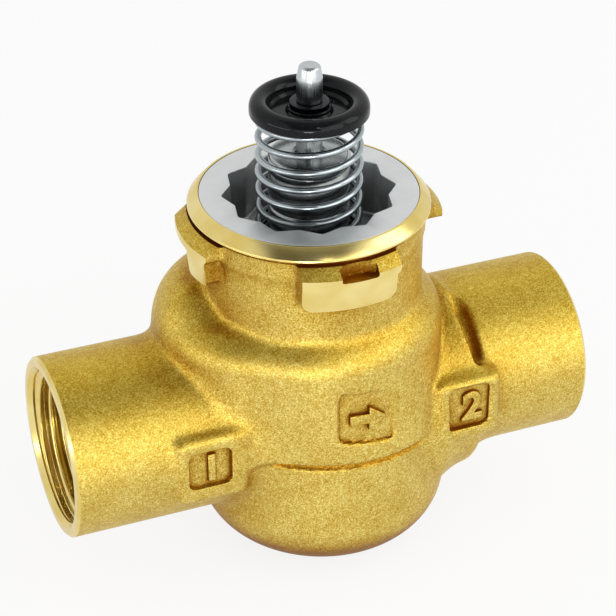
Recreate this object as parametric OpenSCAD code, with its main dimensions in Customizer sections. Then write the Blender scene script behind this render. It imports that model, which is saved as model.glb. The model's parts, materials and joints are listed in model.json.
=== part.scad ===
// Two-port zone valve: cast brass body with a bayonet collar, a screwed bonnet
// and a spring-returned stem that is pressed down to close the seat.
// The valve stands on the foot of its lower bowl: z = 0 is that foot, +X runs
// from port 1 to port 2 along the pipe, and the stem rises along +Z.

/* [Pipe ports] */
// Length over the two port faces
port_span = 94; // [84:1:120]
// Outside diameter of a port barrel
port_od = 31.3; // [30:0.1:34]
// Diameter of the threaded bore at the root of the thread
thread_d = 26.44; // [24:0.01:27]
// Depth of the threaded bore
thread_depth = 15; // [10:0.5:16]
// Bore of the waterway behind the thread
waterway_d = 21; // [16:0.5:22]
// Chamfer round the outside of a port face
port_chamfer = 0.5; // [0.2:0.1:1]
// Chamfer into the mouth of a threaded bore
mouth_chamfer = 0.7; // [0.3:0.1:1]

/* [Cast body] */
// Height of the pipe axis above the foot
axis_height = 26; // [24:0.5:34]
// Diameter of the wide band round the middle
band_d = 45.6; // [43:0.2:52]
// Distance of the band and bowl centre from the stem, towards port 2
band_offset = 2.5; // [0:0.1:4]
// Height of the band's shoulder above the pipe axis
band_rise = 17.8; // [16.5:0.1:19]
// Rounding of the band's shoulder
shoulder_r = 4; // [2:0.5:5]
// How far the band stands proud of the bowl
band_step = 0.8; // [0.4:0.1:1.5]
// Rounding between the bowl's wall and its foot
bowl_r = 10.3; // [6:0.1:12]
// Thickness of the cast walls
wall = 3.5; // [2.5:0.1:4.5]
// Diameter of the rounded chamber over port 1
lobe_d = 34; // [32:0.5:36]
// Distance of that chamber from the stem, towards port 1
lobe_offset = 11; // [9:0.5:12]
// Height of that chamber's centre above the pipe axis
lobe_rise = 15; // [12:0.5:16]
// Diameter of the collar where the body meets port 2
collar_d = 34.4; // [33:0.2:37]
// How far that collar sits forward of the pipe axis, and below it
collar_drop = 0.9; // [0:0.1:1.2]
// Reach of that collar from the stem
collar_reach = 26.5; // [26:0.5:30]
// Reach of the web under port 2 from the stem
web_reach = 33; // [31:0.5:36]

/* [Bonnet neck and bayonet collar] */
// Diameter of the cast neck
neck_d = 38.4; // [38:0.1:42]
// Step from the neck to its thicker upper part, on the radius
neck_step = 0.3; // [0.1:0.05:0.4]
// Rounding where the neck flares into the shoulder
flare_r = 4.5; // [3:0.5:6]
// Height of the neck's top face above the pipe axis
neck_rise = 40.2; // [38:0.2:46]
// Diameter of the turned ring round the top
ring_d = 39.8; // [39.4:0.1:43]
// Height of the turned ring
ring_h = 2.3; // [1.6:0.1:3]
// Diameter over the bayonet lugs
lug_od = 44.8; // [43.6:0.1:46]
// Width of a lug's brim
lug_w = 15.2; // [12:0.2:16]
// Height of the brim's turned outer face
lug_brim_h = 2.5; // [1.8:0.1:2.8]
// Height of the slope above the brim
lug_slope_h = 0.9; // [0.6:0.1:1.2]
// Height of the skirt below the brim
lug_face_h = 4.9; // [3:0.1:6]
// How much the skirt's lower edge is drawn in
skirt_taper = 0.6; // [0.2:0.1:1]
// Width of the skirts under the front and back lugs
skirt_w = 16.2; // [13:0.2:17]
// Turn of these skirts against their brims, in degrees
skirt_turn = -3.5; // [-6:0.5:-2]
// Rounding of the skirts' lower corners
lug_corner = 1.8; // [1:0.1:3]
// Width of the stops under the side lugs
stop_w = 5.4; // [4:0.2:6]
// Turn of these stops against their brims, in degrees
stop_turn = 11.6; // [8:0.2:12]
// Width of the notch in a front or back lug
notch_w = 6.4; // [3:0.2:8]
// Radius of the notch's round back
notch_r = 4.9; // [4.1:0.1:6]

/* [Marks cast in the body] */
// Length of the raised pad on a port barrel
pad_l = 12; // [8:0.5:14]
// Height of the raised pad
pad_h = 13; // [9:0.5:14]
// Length and height of the sunk panel in a pad
panel_w = 8; // [5:0.5:9]
// Depth of the sunk panels
panel_depth = 0.6; // [0.3:0.1:0.9]
// Width of the sunk badge place on the band
badge_w = 10.5; // [8:0.5:14]
// Height of the sunk badge place
badge_h = 9; // [6:0.5:10]

/* [Bonnet] */
// Diameter of the bonnet's flange
bonnet_d = 36.8; // [36:0.1:40]
// Thickness of the flange
bonnet_flange_h = 2.2; // [1.8:0.1:3]
// Diameter of the screwed part
bonnet_thread_d = 33; // [32:0.1:36]
// Depth of the screwed part below the neck's top face
bonnet_depth = 18.2; // [16:0.2:22]
// Diameter over the points of the star socket
star_d = 29.4; // [27:0.1:30]
// Depth of the star socket
star_depth = 10; // [6:0.5:11]
// Turn of the star socket
star_turn = 16.5; // [0:0.5:30]
// Thickness of the bonnet's floor
bonnet_floor = 4.2; // [3:0.1:5]

/* [Stem and lift] */
// Diameter of the stem
stem_d = 4.3; // [3:0.1:5]
// Height of the stem's tip above the pipe axis
stem_rise = 63.2; // [60:0.2:70]
// Diameter of the threaded lower end
stem_thread_d = 4; // [2.6:0.1:4.6]
// Length of the tapered tip
tip_taper = 2.3; // [1:0.1:3]
// Diameter of the tip's flat end
tip_d = 3.5; // [2:0.1:4]
// Stroke of the stem from open to closed
stroke = 3; // [1.5:0.1:3]

/* [Return spring] */
// Outside diameter of the spring
spring_od = 18; // [17:0.1:19]
// Diameter of the spring wire
wire_d = 1.15; // [0.8:0.05:1.4]
// Number of open turns
open_turns = 6.9; // [5:0.1:8]
// Turns that lie close at each end
closed_turns = 1; // [0.75:0.05:1.25]
// Rise of a close turn as a multiple of the wire
close_rise = 1.1; // [1.05:0.01:1.2]

/* [Spring cup] */
// Outside diameter of the cup's rolled rim
cup_d = 19.8; // [19:0.1:22]
// Radial width of the rolled rim
rim_w = 3.3; // [2.8:0.1:3.6]
// Thickness of the cup's sheet
cup_sheet = 0.6; // [0.4:0.05:0.8]
// Height of the rim's crown above the pipe axis
cup_rise = 57.4; // [56:0.1:60]
// Height of the rim's skirt below its crown
rim_h = 2.5; // [2:0.1:3]
// Diameter of the clip that holds the cup
clip_d = 6.6; // [6:0.1:8]
// Thickness of the clip
clip_t = 0.8; // [0.5:0.1:1.2]

/* [Gland] */
// Diameter of the gland tube
gland_d = 13.6; // [12:0.1:14]
// Height of the gland's top above the pipe axis
gland_rise = 47.4; // [44:0.2:48]
// Diameter of the thread that holds the gland in the bonnet
gland_thread_d = 14.4; // [14:0.1:15]
// Diameter of the seal chamber
seal_bore = 9.4; // [8:0.1:10]
// Wire diameter of the stem seals
seal_wire = 2.3; // [1.6:0.05:2.4]
// Thickness of the gland cap's head
cap_h = 1.8; // [1.2:0.1:2.5]
// Outside diameter of the guide bush
bush_d = 7.2; // [6:0.1:8]
// Length of the guide bush
bush_l = 5.5; // [3:0.1:6]

/* [Seat and plug] */
// Height of the seat wall's top above the pipe axis
seat_rise = 9.5; // [9.2:0.1:10.5]
// Thickness of the seat wall
seat_wall = 3.5; // [3:0.1:4]
// Bore of the seat
seat_bore = 17; // [12:0.5:18]
// Diameter of the seat insert's sleeve
seat_sleeve_d = 20.8; // [20:0.1:22]
// Height of the seat's lip above the seat wall
seat_lip = 2; // [1.6:0.1:2.5]
// Diameter of the plug
plug_d = 22; // [21:0.1:23]
// Thickness of the plug's soft face
soft_face = 2.8; // [2:0.1:3]

/* [Clearances] */
// Radial clearance of the stem in its guides
running_gap = 0.05; // [0.02:0.01:0.1]
// Gap between pieces that seat on or screw into each other
seat_gap = 0.05; // [0.02:0.01:0.1]
// Gap left at the ends of the stroke
stop_gap = 0.3; // [0.1:0.05:0.4]

/* [Hidden] */
$fn = 64;

// Small overlap that makes unions and cuts certain
eps = 0.01;
// Overlap that lets a cut run well past a face
past = 1;

// Heights above the foot
neck_top = axis_height + neck_rise;
ring_bottom = neck_top - ring_h;
flange_bottom = neck_top - bonnet_flange_h;
bonnet_bottom = neck_top - bonnet_depth;
star_floor = neck_top - star_depth;
floor_bottom = star_floor - bonnet_floor;
band_top = axis_height + band_rise;
band_bottom = axis_height - band_step;
lobe_z = axis_height + lobe_rise;
seat_top = axis_height + seat_rise;
seat_bottom = seat_top - seat_wall;
gland_top = axis_height + gland_rise;
cup_top = axis_height + cup_rise;
cup_bottom = cup_top - rim_h;
tip_z = axis_height + stem_rise;

// Body radii and reaches
port_r = port_od / 2;
half_span = port_span / 2;
band_r = band_d / 2;
bowl_wall_r = band_r - band_step;
neck_r = neck_d / 2;
ring_r = ring_d / 2;
lug_r = lug_od / 2;
ring_bevel = 0.6;
lug_top = ring_bottom + 0.3;
lug_shoulder = lug_top - lug_slope_h;
lug_edge = lug_shoulder - lug_brim_h;
lug_bottom = lug_edge - lug_face_h;
lug_count = 4;
brim_foot = lug_edge - 0.3;
lug_crest_r = ring_r + 0.6;
groove_r = neck_r + 0.15;
upper_neck_z = lug_bottom + 3.6;
pad_face = port_r + 0.95;
pad_foot = axis_height - pad_h / 2 + 0.8;
flare_z = band_top + flare_r;
notch_back = lug_crest_r - 0.1;
notch_sill = lug_edge + 0.3;

// Bonnet and its seat in the neck
bonnet_r = bonnet_d / 2;
bonnet_thread_r = bonnet_thread_d / 2;
o_ring_wire = 1.6;
o_ring_gland_h = 2.2;
o_ring_root_r = bonnet_thread_r - 0.6;
o_ring_wall_r = o_ring_root_r + o_ring_wire + 2 * seat_gap;
bonnet_skirt_r = bonnet_thread_r - wall - past;

// Chambers inside the body
chamber_r = bonnet_thread_r - past;
lower_r = bowl_wall_r - wall - 1.5;
lower_offset = band_offset + 1.5;
lower_corner = bowl_r - wall;
inlet_end = -(lower_r - lower_offset) - wall;
outlet_start = chamber_r + 1.5;
lobe_cavity_r = lobe_d / 2 - wall;

// Stem parts
stem_r = stem_d / 2;
stem_thread_r = stem_thread_d / 2;
guide_r = stem_r + running_gap;
clip_groove_r = stem_r - 0.5;

// Gland
gland_r = gland_d / 2;
gland_thread_r = gland_thread_d / 2;
gland_foot_h = 2;
gland_foot_r = gland_thread_r + 1.8;
gland_bottom = floor_bottom - gland_foot_h;
seal_r = seal_bore / 2;
cap_spigot = 2;
cap_bottom = gland_top - cap_h;
wiper_h = 1.1;
spacer_h = 1.3;
wiper_bottom = cap_bottom - cap_spigot - seat_gap - wiper_h;
seal_hi = wiper_bottom - seat_gap - seal_wire / 2;
spacer_bottom = seal_hi - seal_wire / 2 - seat_gap - spacer_h;
seal_lo = spacer_bottom - seat_gap - seal_wire / 2;
seal_floor = seal_lo - seal_wire / 2 - seat_gap;
bush_bottom = gland_bottom + 0.5;
gland_ring_wire = 1.2;

// Spring cup and spring
cup_r = cup_d / 2;
rim_r = rim_w / 2;
rim_mid_r = cup_r - rim_r;
rim_z = cup_top - rim_r;
cup_floor_top = cup_bottom + 0.1;
boss_r = clip_d / 2 + 0.3;
boss_top = cup_bottom + 1;
vent_r = 0.7;
vent_at = 4.6;
vent_turn = 20;
washer_t = 0.8;
washer_top = star_floor + seat_gap + washer_t;
spring_r = (spring_od - wire_d) / 2;
spring_foot = washer_top + seat_gap + wire_d / 2;
spring_crown = rim_z + 0.35;
spring_turns = open_turns + 2 * closed_turns;
close_pitch = wire_d * close_rise;
open_pitch = (spring_crown - spring_foot - 2 * closed_turns * close_pitch) / open_turns;
rings_per_turn = 24;
wire_sides = 8;

// Seat and plug, from the gland's foot down to the seat's lip
seat_bore_r = seat_bore / 2;
seat_flange_r = seat_sleeve_d / 2 + 1.6;
seat_flange_h = 1.1;
seat_lip_top = seat_top + seat_lip;
seat_ring_wire = 0.8;
seat_ring_z = seat_top - seat_wall / 2;
plug_r = plug_d / 2;
plug_rim = 0.8;
face_bottom = seat_lip_top + stroke + stop_gap / 3;
face_top = face_bottom + soft_face;
plug_disc_h = 2.5;
plug_disc_top = face_top + seat_gap + plug_disc_h;
plug_top = gland_bottom - stop_gap;
seal_washer_h = 1;
seal_washer_r = seat_bore_r - 3;
nut_flats = 7;
nut_h = 3.2;
nut_top = face_bottom - seat_gap - seal_washer_h - seat_gap;
stem_end = nut_top - nut_h - 0.7;

// ---------- shapes used by several parts ----------

// A round bar along the pipe, from one x to another
module pipe_bar(r, x_from, x_to) {
    translate([x_from, 0, axis_height])
        rotate([0, 90, 0])
            cylinder(r = r, h = x_to - x_from);
}

// A half section turned round the pipe's axis: its y becomes x along the pipe
module turned_on_pipe() {
    translate([0, 0, axis_height])
        rotate([0, 90, 0])
            rotate_extrude()
                children();
}

// A flat ring
module ring(r_out, r_in, z_from, z_to) {
    translate([0, 0, z_from])
        difference() {
            cylinder(r = r_out, h = z_to - z_from);
            translate([0, 0, -past])
                cylinder(r = r_in, h = z_to - z_from + 2 * past);
        }
}

// A round-section sealing ring at height z
module o_ring(r_in, wire, z) {
    translate([0, 0, z])
        rotate_extrude()
            translate([r_in + wire / 2, 0])
                circle(d = wire, $fn = 24);
}

// Two hexagons a twelfth of a turn apart
module star_outline(d) {
    for (turn = [0, 30])
        rotate(star_turn + turn)
            circle(d = d, $fn = 6);
}

// A rectangle centred on x, with its two lower corners round
module soft_foot_outline(w, h, r) {
    translate([-w / 2, r])
        square([w, h - r]);
    translate([-w / 2 + r, 0])
        square([w - 2 * r, h]);
    for (side = [-1, 1])
        translate([side * (w / 2 - r), r])
            circle(r = r, $fn = 32);
}

// ---------- the cast and machined body ----------

// Half section of the bowl, the band and its shoulder
module bowl_section() {
    intersection() {
        union() {
            square([bowl_wall_r - bowl_r, band_top]);
            translate([0, bowl_r])
                square([bowl_wall_r, band_bottom]);
            translate([bowl_wall_r - bowl_r, bowl_r])
                circle(r = bowl_r);
            translate([0, band_bottom])
                square([band_r, band_top - shoulder_r - band_bottom]);
            translate([0, band_bottom])
                square([band_r - shoulder_r, band_top - band_bottom]);
            translate([band_r - shoulder_r, band_top - shoulder_r])
                circle(r = shoulder_r);
        }
        square([band_r, band_top]);
    }
}

// Half section of the neck, from its flared foot to the turned ring
module neck_section() {
    flare_reach = neck_r + flare_r / 2;
    neck_foot = band_top - shoulder_r;
    difference() {
        translate([0, neck_foot])
            square([flare_reach, flare_z - neck_foot]);
        translate([neck_r + flare_r, flare_z])
            circle(r = flare_r);
    }
    polygon([
        [0, neck_foot],
        [neck_r, neck_foot],
        [neck_r, upper_neck_z],
        [neck_r + neck_step, upper_neck_z + neck_step],
        [neck_r + neck_step, ring_bottom - 0.6],
        [groove_r, ring_bottom - 0.3],
        [groove_r, ring_bottom],
        [ring_r, ring_bottom + ring_bevel],
        [ring_r, neck_top - ring_bevel],
        [ring_r - ring_bevel, neck_top],
        [0, neck_top]
    ]);
}

// Rounded chamber over port 1: a dome on a drum
module port_1_chamber() {
    drum_foot = axis_height - 3;
    translate([-lobe_offset, 0, 0])
        rotate_extrude()
            intersection() {
                union() {
                    translate([0, drum_foot])
                        square([lobe_d / 2, lobe_z - drum_foot]);
                    translate([0, lobe_z])
                        circle(d = lobe_d);
                }
                translate([0, drum_foot])
                    square([lobe_d, lobe_d + lobe_z]);
            }
}

// Collar and web that carry port 2 on the band and the bowl
module port_2_shoulder() {
    collar_r = collar_d / 2;
    round = 1.2;
    difference() {
        translate([0, -collar_drop, -collar_drop])
            turned_on_pipe() {
                square([collar_r, collar_reach - round]);
                square([collar_r - round, collar_reach]);
                translate([collar_r - round, collar_reach - round])
                    circle(r = round);
            }
        // the collar stops where the pad's flat face runs over it
        translate([0, -band_r, pad_foot])
            cube([half_span, band_r - pad_face + 0.5, pad_h]);
    }
    web_start = band_offset + bowl_wall_r - 6;
    web_drop = 3;
    translate([web_start, 0, axis_height - web_drop])
        rotate([0, 90, 0])
            cylinder(
                r1 = axis_height - web_drop - 4,
                r2 = port_r - web_drop + 0.5,
                h = web_reach - web_start
            );
}

// Both port barrels, with the chamfers of their faces
module port_barrels() {
    turned_on_pipe()
        polygon([
            [0, -half_span],
            [port_r - port_chamfer, -half_span],
            [port_r, port_chamfer - half_span],
            [port_r, half_span - port_chamfer],
            [port_r - port_chamfer, half_span],
            [0, half_span]
        ]);
}

// The lugs' turned faces, all the way round
module lug_ring() {
    rotate_extrude()
        polygon([
            [neck_r - past, lug_bottom - past],
            [lug_r - skirt_taper, lug_bottom],
            [lug_r, lug_edge],
            [lug_r, lug_shoulder],
            [lug_crest_r, lug_top],
            [groove_r, ring_bottom - 0.3],
            [neck_r - past, ring_bottom - 0.3]
        ]);
}

// Front outline of a lug or skirt, extruded outwards along +X from the neck
module lug_block(w, foot, corner) {
    rotate([90, 0, 90])
        linear_extrude(height = lug_r + past)
            translate([0, foot])
                soft_foot_outline(w, lug_top - foot + past, corner);
}

// Round-backed slot down the middle of a lug's brim
module lug_notch() {
    slot_h = lug_top - notch_sill + ring_h;
    intersection() {
        translate([notch_back + notch_r, 0, notch_sill])
            cylinder(r = notch_r, h = slot_h);
        translate([0, -notch_w / 2, notch_sill - past])
            cube([lug_r + past, notch_w, slot_h + 2 * past]);
    }
}

// Four brims, skirts under two of them and stops under the other two
module bayonet_lugs() {
    difference() {
        intersection() {
            lug_ring();
            union() {
                for (i = [0 : lug_count - 1])
                    rotate(i * 360 / lug_count)
                        lug_block(lug_w, brim_foot, 0.5);
                for (turn = [-90, 90])
                    rotate(turn + skirt_turn)
                        lug_block(skirt_w, lug_bottom, lug_corner);
                for (turn = [0, 180])
                    rotate(turn + stop_turn)
                        lug_block(stop_w, lug_bottom, 0.6);
            }
        }
        for (turn = [-90, 90])
            rotate(turn)
                lug_notch();
    }
}

// Raised pads on the front of both barrels
module port_pads() {
    for (side = [-1, 1])
        translate([side * (half_span - 17) - (side > 0 ? pad_l : 0), -pad_face, pad_foot])
            cube([pad_l, pad_face - wall, pad_h]);
}

// Sunk panels in the pads and the badge place on the band
module sunk_panels() {
    panel_foot = axis_height - panel_w / 2 + 0.8;
    inset = 2.4;
    for (side = [-1, 1])
        translate([
            side * (half_span - 17 - inset) - (side > 0 ? panel_w : 0),
            -band_r,
            panel_foot
        ])
            cube([panel_w, band_r - pad_face + panel_depth, panel_w]);
    badge_x = 2;
    difference() {
        translate([badge_x - badge_w / 2, -band_r - past, axis_height + 3.2])
            cube([badge_w, band_r, badge_h]);
        translate([band_offset, 0, 0])
            cylinder(r = band_r - panel_depth, h = neck_top);
    }
}

// Everything that is cored or bored out of the body
module body_hollows() {
    // threaded bores, their mouths and the two waterways
    for (side = [0, 180])
        translate([0, 0, axis_height])
            rotate([0, 90, side]) {
                translate([0, 0, half_span - thread_depth])
                    cylinder(d = thread_d, h = thread_depth + past);
                translate([0, 0, half_span - mouth_chamfer])
                    cylinder(
                        d1 = thread_d,
                        d2 = thread_d + 2 * (mouth_chamfer + past),
                        h = mouth_chamfer + past
                    );
            }
    pipe_bar(waterway_d / 2, -half_span + thread_depth - past, inlet_end);
    pipe_bar(waterway_d / 2, outlet_start, half_span - thread_depth + past);
    // upper chamber under the bonnet, and the bonnet's seat
    translate([0, 0, seat_top])
        cylinder(r = chamber_r, h = neck_top - seat_top);
    translate([0, 0, bonnet_bottom - past])
        cylinder(r = bonnet_thread_r + seat_gap, h = neck_top);
    translate([0, 0, flange_bottom - o_ring_gland_h - seat_gap])
        cylinder(r = o_ring_wall_r, h = neck_top);
    translate([0, 0, flange_bottom - seat_gap])
        cylinder(r = bonnet_r + seat_gap, h = neck_top);
    // chamber over port 1, kept clear of the seat wall
    intersection() {
        translate([-lobe_offset, 0, lobe_z])
            sphere(r = lobe_cavity_r);
        union() {
            translate([-half_span, -band_r, seat_top])
                cube([half_span, band_d, neck_top]);
            translate([-half_span, -band_r, 0])
                cube([half_span + inlet_end, band_d, neck_top]);
        }
    }
    // seat bore and lower chamber
    translate([0, 0, seat_bottom - past])
        cylinder(r = seat_sleeve_d / 2 + seat_gap, h = seat_wall + 2 * past);
    translate([lower_offset, 0, 0])
        rotate_extrude()
            intersection() {
                union() {
                    translate([0, wall])
                        square([lower_r - lower_corner, seat_bottom - wall]);
                    translate([0, wall + lower_corner])
                        square([lower_r, seat_bottom - wall - lower_corner]);
                    translate([lower_r - lower_corner, wall + lower_corner])
                        circle(r = lower_corner);
                }
                square([lower_r, seat_bottom]);
            }
}

module valve_body() {
    color([0.80, 0.66, 0.33])
        difference() {
            union() {
                port_barrels();
                translate([band_offset, 0, 0])
                    rotate_extrude()
                        bowl_section();
                rotate_extrude()
                    neck_section();
                port_1_chamber();
                port_2_shoulder();
                bayonet_lugs();
                port_pads();
            }
            body_hollows();
            sunk_panels();
        }
}

// ---------- seat ----------

module seat_insert() {
    sleeve_r = seat_sleeve_d / 2;
    groove = seat_ring_wire + 2 * seat_gap;
    color([0.75, 0.76, 0.78])
        translate([0, 0, seat_gap])
            rotate_extrude()
                polygon([
                    [seat_bore_r, seat_bottom],
                    [sleeve_r, seat_bottom],
                    [sleeve_r, seat_ring_z - groove / 2],
                    [sleeve_r - seat_ring_wire - seat_gap, seat_ring_z - groove / 2],
                    [sleeve_r - seat_ring_wire - seat_gap, seat_ring_z + groove / 2],
                    [sleeve_r, seat_ring_z + groove / 2],
                    [sleeve_r, seat_top],
                    [seat_flange_r, seat_top],
                    [seat_flange_r, seat_top + seat_flange_h],
                    [seat_bore_r + 1.2, seat_top + seat_flange_h],
                    [seat_bore_r + 0.9, seat_lip_top - seat_gap],
                    [seat_bore_r, seat_lip_top - seat_gap]
                ]);
}

module seat_o_ring() {
    color([0.1, 0.1, 0.1])
        o_ring(seat_sleeve_d / 2 - seat_ring_wire, seat_ring_wire, seat_ring_z + seat_gap);
}

// ---------- bonnet ----------

module bonnet() {
    color([0.78, 0.80, 0.82])
        difference() {
            rotate_extrude()
                polygon([
                    [gland_thread_r + seat_gap, floor_bottom],
                    [bonnet_skirt_r, floor_bottom],
                    [bonnet_skirt_r, bonnet_bottom],
                    [bonnet_thread_r, bonnet_bottom],
                    [bonnet_thread_r, flange_bottom - o_ring_gland_h],
                    [o_ring_root_r, flange_bottom - o_ring_gland_h],
                    [o_ring_root_r, flange_bottom],
                    [bonnet_r, flange_bottom],
                    [bonnet_r, neck_top - 0.25],
                    [bonnet_r - 0.25, neck_top],
                    [gland_thread_r + seat_gap, neck_top]
                ]);
            translate([0, 0, star_floor])
                linear_extrude(height = star_depth + past)
                    star_outline(star_d);
        }
}

module bonnet_o_ring() {
    color([0.1, 0.1, 0.1])
        o_ring(o_ring_root_r + seat_gap, o_ring_wire, flange_bottom - o_ring_gland_h / 2);
}

// ---------- gland ----------

module gland_tube() {
    color([0.72, 0.74, 0.76])
        rotate_extrude()
            difference() {
                polygon([
                    [guide_r + 0.2, gland_bottom],
                    [gland_foot_r, gland_bottom],
                    [gland_foot_r, floor_bottom - seat_gap],
                    [gland_thread_r - gland_ring_wire, floor_bottom - seat_gap],
                    [gland_thread_r - gland_ring_wire, floor_bottom + gland_ring_wire],
                    [gland_thread_r, floor_bottom + gland_ring_wire],
                    [gland_thread_r, star_floor],
                    [gland_r, star_floor],
                    [gland_r, cap_bottom],
                    [seal_r, cap_bottom],
                    [seal_r, seal_floor],
                    [guide_r + 0.2, seal_floor]
                ]);
                translate([0, gland_bottom - past])
                    square([bush_d / 2 + seat_gap, bush_l + past + 0.5 + seat_gap]);
            }
}

module gland_o_ring() {
    wire = gland_ring_wire - seat_gap;
    color([0.1, 0.1, 0.1])
        o_ring(
            gland_thread_r - wire + seat_gap / 2,
            wire - seat_gap / 2,
            floor_bottom + gland_ring_wire / 2
        );
}

module gland_cap() {
    color([0.70, 0.72, 0.74])
        rotate_extrude()
            polygon([
                [guide_r + 0.05, cap_bottom - cap_spigot],
                [seal_r - seat_gap, cap_bottom - cap_spigot],
                [seal_r - seat_gap, cap_bottom + seat_gap],
                [gland_r, cap_bottom + seat_gap],
                [gland_r, gland_top - 0.4],
                [gland_r - 0.4, gland_top],
                [guide_r + 0.5, gland_top],
                [guide_r + 0.05, gland_top - 0.4]
            ]);
}

module guide_bush() {
    color([0.92, 0.91, 0.88])
        ring(bush_d / 2, guide_r, bush_bottom, bush_bottom + bush_l);
}

module stem_seal_lower() {
    color([0.1, 0.1, 0.1])
        o_ring(guide_r, seal_wire, seal_lo);
}

module seal_spacer() {
    color([0.92, 0.91, 0.88])
        ring(seal_r - seat_gap, guide_r + 0.05, spacer_bottom, spacer_bottom + spacer_h);
}

module stem_seal_upper() {
    color([0.1, 0.1, 0.1])
        o_ring(guide_r, seal_wire, seal_hi);
}

module wiper_ring() {
    color([0.12, 0.12, 0.12])
        ring(seal_r - seat_gap, guide_r, wiper_bottom, wiper_bottom + wiper_h);
}

// ---------- spring ----------

module spring_washer() {
    color([0.62, 0.64, 0.66])
        ring(
            spring_od / 2 + 0.5,
            gland_thread_r + 0.1,
            star_floor + seat_gap,
            washer_top
        );
}

// Height of the wire's centre after a number of turns from the foot
function wire_height(turns) =
    let(
        low = min(turns, closed_turns),
        mid = max(0, min(turns - closed_turns, open_turns)),
        high = max(0, turns - closed_turns - open_turns)
    )
    spring_foot + (low + high) * close_pitch + mid * open_pitch;

// One point of the wire's skin: ring i along the coil, side j round the wire
function wire_point(i, j) =
    let(
        turns = i / rings_per_turn,
        a = 360 * turns,
        b = 360 * j / wire_sides,
        r = spring_r + wire_d / 2 * cos(b)
    )
    [r * cos(a), r * sin(a), wire_height(turns) + wire_d / 2 * sin(b)];

module return_spring() {
    rings = round(spring_turns * rings_per_turn);
    points = [for (i = [0 : rings]) for (j = [0 : wire_sides - 1]) wire_point(i, j)];
    skin = [
        for (i = [0 : rings - 1])
            for (j = [0 : wire_sides - 1])
                let(k = (j + 1) % wire_sides)
                [
                    i * wire_sides + j,
                    (i + 1) * wire_sides + j,
                    (i + 1) * wire_sides + k,
                    i * wire_sides + k
                ]
    ];
    start = [[for (j = [0 : wire_sides - 1]) j]];
    end = [[for (j = [wire_sides - 1 : -1 : 0]) rings * wire_sides + j]];
    color([0.75, 0.78, 0.82])
        polyhedron(points = points, faces = concat(skin, start, end));
}

// ---------- stem, spring cup and plug ----------

module stem() {
    groove_z = boss_top + seat_gap;
    color([0.72, 0.74, 0.76])
        rotate_extrude()
            polygon([
                [0, stem_end],
                [stem_thread_r - 0.4, stem_end],
                [stem_thread_r, stem_end + 0.4],
                [stem_thread_r, plug_top + seat_gap],
                [stem_r, plug_top + seat_gap],
                [stem_r, groove_z],
                [clip_groove_r, groove_z],
                [clip_groove_r, groove_z + clip_t + seat_gap],
                [stem_r, groove_z + clip_t + seat_gap],
                [stem_r, tip_z - tip_taper],
                [tip_d / 2, tip_z - 0.3],
                [tip_d / 2 - 0.3, tip_z],
                [0, tip_z]
            ]);
}

// Pressed cup: a rolled rim that holds the spring, and a dished floor
module spring_cup() {
    color([0.06, 0.06, 0.07])
        difference() {
            rotate_extrude() {
                difference() {
                    union() {
                        translate([rim_mid_r, rim_z])
                            circle(r = rim_r, $fn = 48);
                        translate([cup_r - rim_w, cup_bottom])
                            square([rim_w, rim_z - cup_bottom]);
                    }
                    translate([rim_mid_r, rim_z])
                        circle(r = rim_r - cup_sheet, $fn = 48);
                    translate([cup_r - rim_w + cup_sheet, cup_bottom - past])
                        square([rim_w - 2 * cup_sheet, rim_z - cup_bottom + past]);
                    translate([0, cup_bottom - rim_w - eps])
                        square([cup_r + past, rim_w]);
                }
                translate([stem_r + seat_gap, cup_floor_top - cup_sheet])
                    square([cup_r - rim_w + cup_sheet - stem_r - seat_gap, cup_sheet]);
                translate([stem_r + seat_gap, cup_floor_top - cup_sheet])
                    square([boss_r - stem_r - seat_gap, boss_top - cup_floor_top + cup_sheet]);
            }
            rotate(vent_turn)
                translate([vent_at, 0, cup_bottom - past])
                    cylinder(r = vent_r, h = rim_h, $fn = 24);
        }
}

module cup_clip() {
    z = boss_top + 1.5 * seat_gap;
    color([0.35, 0.36, 0.38])
        ring(clip_d / 2, clip_groove_r + seat_gap, z, z + clip_t - seat_gap);
}

module plug_holder() {
    color([0.78, 0.64, 0.32])
        rotate_extrude()
            polygon([
                [stem_thread_r + seat_gap, face_top + seat_gap],
                [plug_r - plug_rim, face_top + seat_gap],
                [plug_r - plug_rim, face_bottom + 0.6],
                [plug_r, face_bottom + 0.6],
                [plug_r, plug_disc_top - 0.5],
                [plug_r - 0.5, plug_disc_top],
                [stem_r + 2, plug_disc_top],
                [stem_r + 1.5, plug_top],
                [stem_thread_r + seat_gap, plug_top]
            ]);
}

module plug_seal() {
    color([0.1, 0.1, 0.1])
        ring(plug_r - plug_rim - seat_gap, stem_thread_r + seat_gap, face_bottom, face_top);
}

module seal_washer() {
    washer_z = face_bottom - seat_gap - seal_washer_h;
    color([0.72, 0.74, 0.76])
        ring(seal_washer_r, stem_thread_r + seat_gap, washer_z, washer_z + seal_washer_h);
}

module plug_nut() {
    color([0.70, 0.72, 0.74])
        translate([0, 0, nut_top - nut_h])
            difference() {
                cylinder(d = nut_flats / cos(30), h = nut_h, $fn = 6);
                translate([0, 0, -past])
                    cylinder(r = stem_thread_r + seat_gap, h = nut_h + 2 * past);
            }
}

valve_body();
seat_insert();
seat_o_ring();
bonnet();
bonnet_o_ring();
gland_tube();
gland_o_ring();
gland_cap();
guide_bush();
stem_seal_lower();
seal_spacer();
stem_seal_upper();
wiper_ring();
spring_washer();
return_spring();
stem();
spring_cup();
cup_clip();
plug_holder();
plug_seal();
seal_washer();
plug_nut();
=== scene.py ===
# %% [markdown]
# # A two-port zone valve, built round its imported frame
# A zone valve opens and closes one loop of a heating system. Its body is cast in
# brass and then machined where pipes and the drive head fit. A spring-returned
# stem stands in the bonnet: an actuator locks on the four bayonet lugs and
# presses the stem down three millimetres to shut the seat.
# This file makes the looks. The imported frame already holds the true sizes, the
# bodies and the joint, so every piece here takes its place from the frame.

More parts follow.
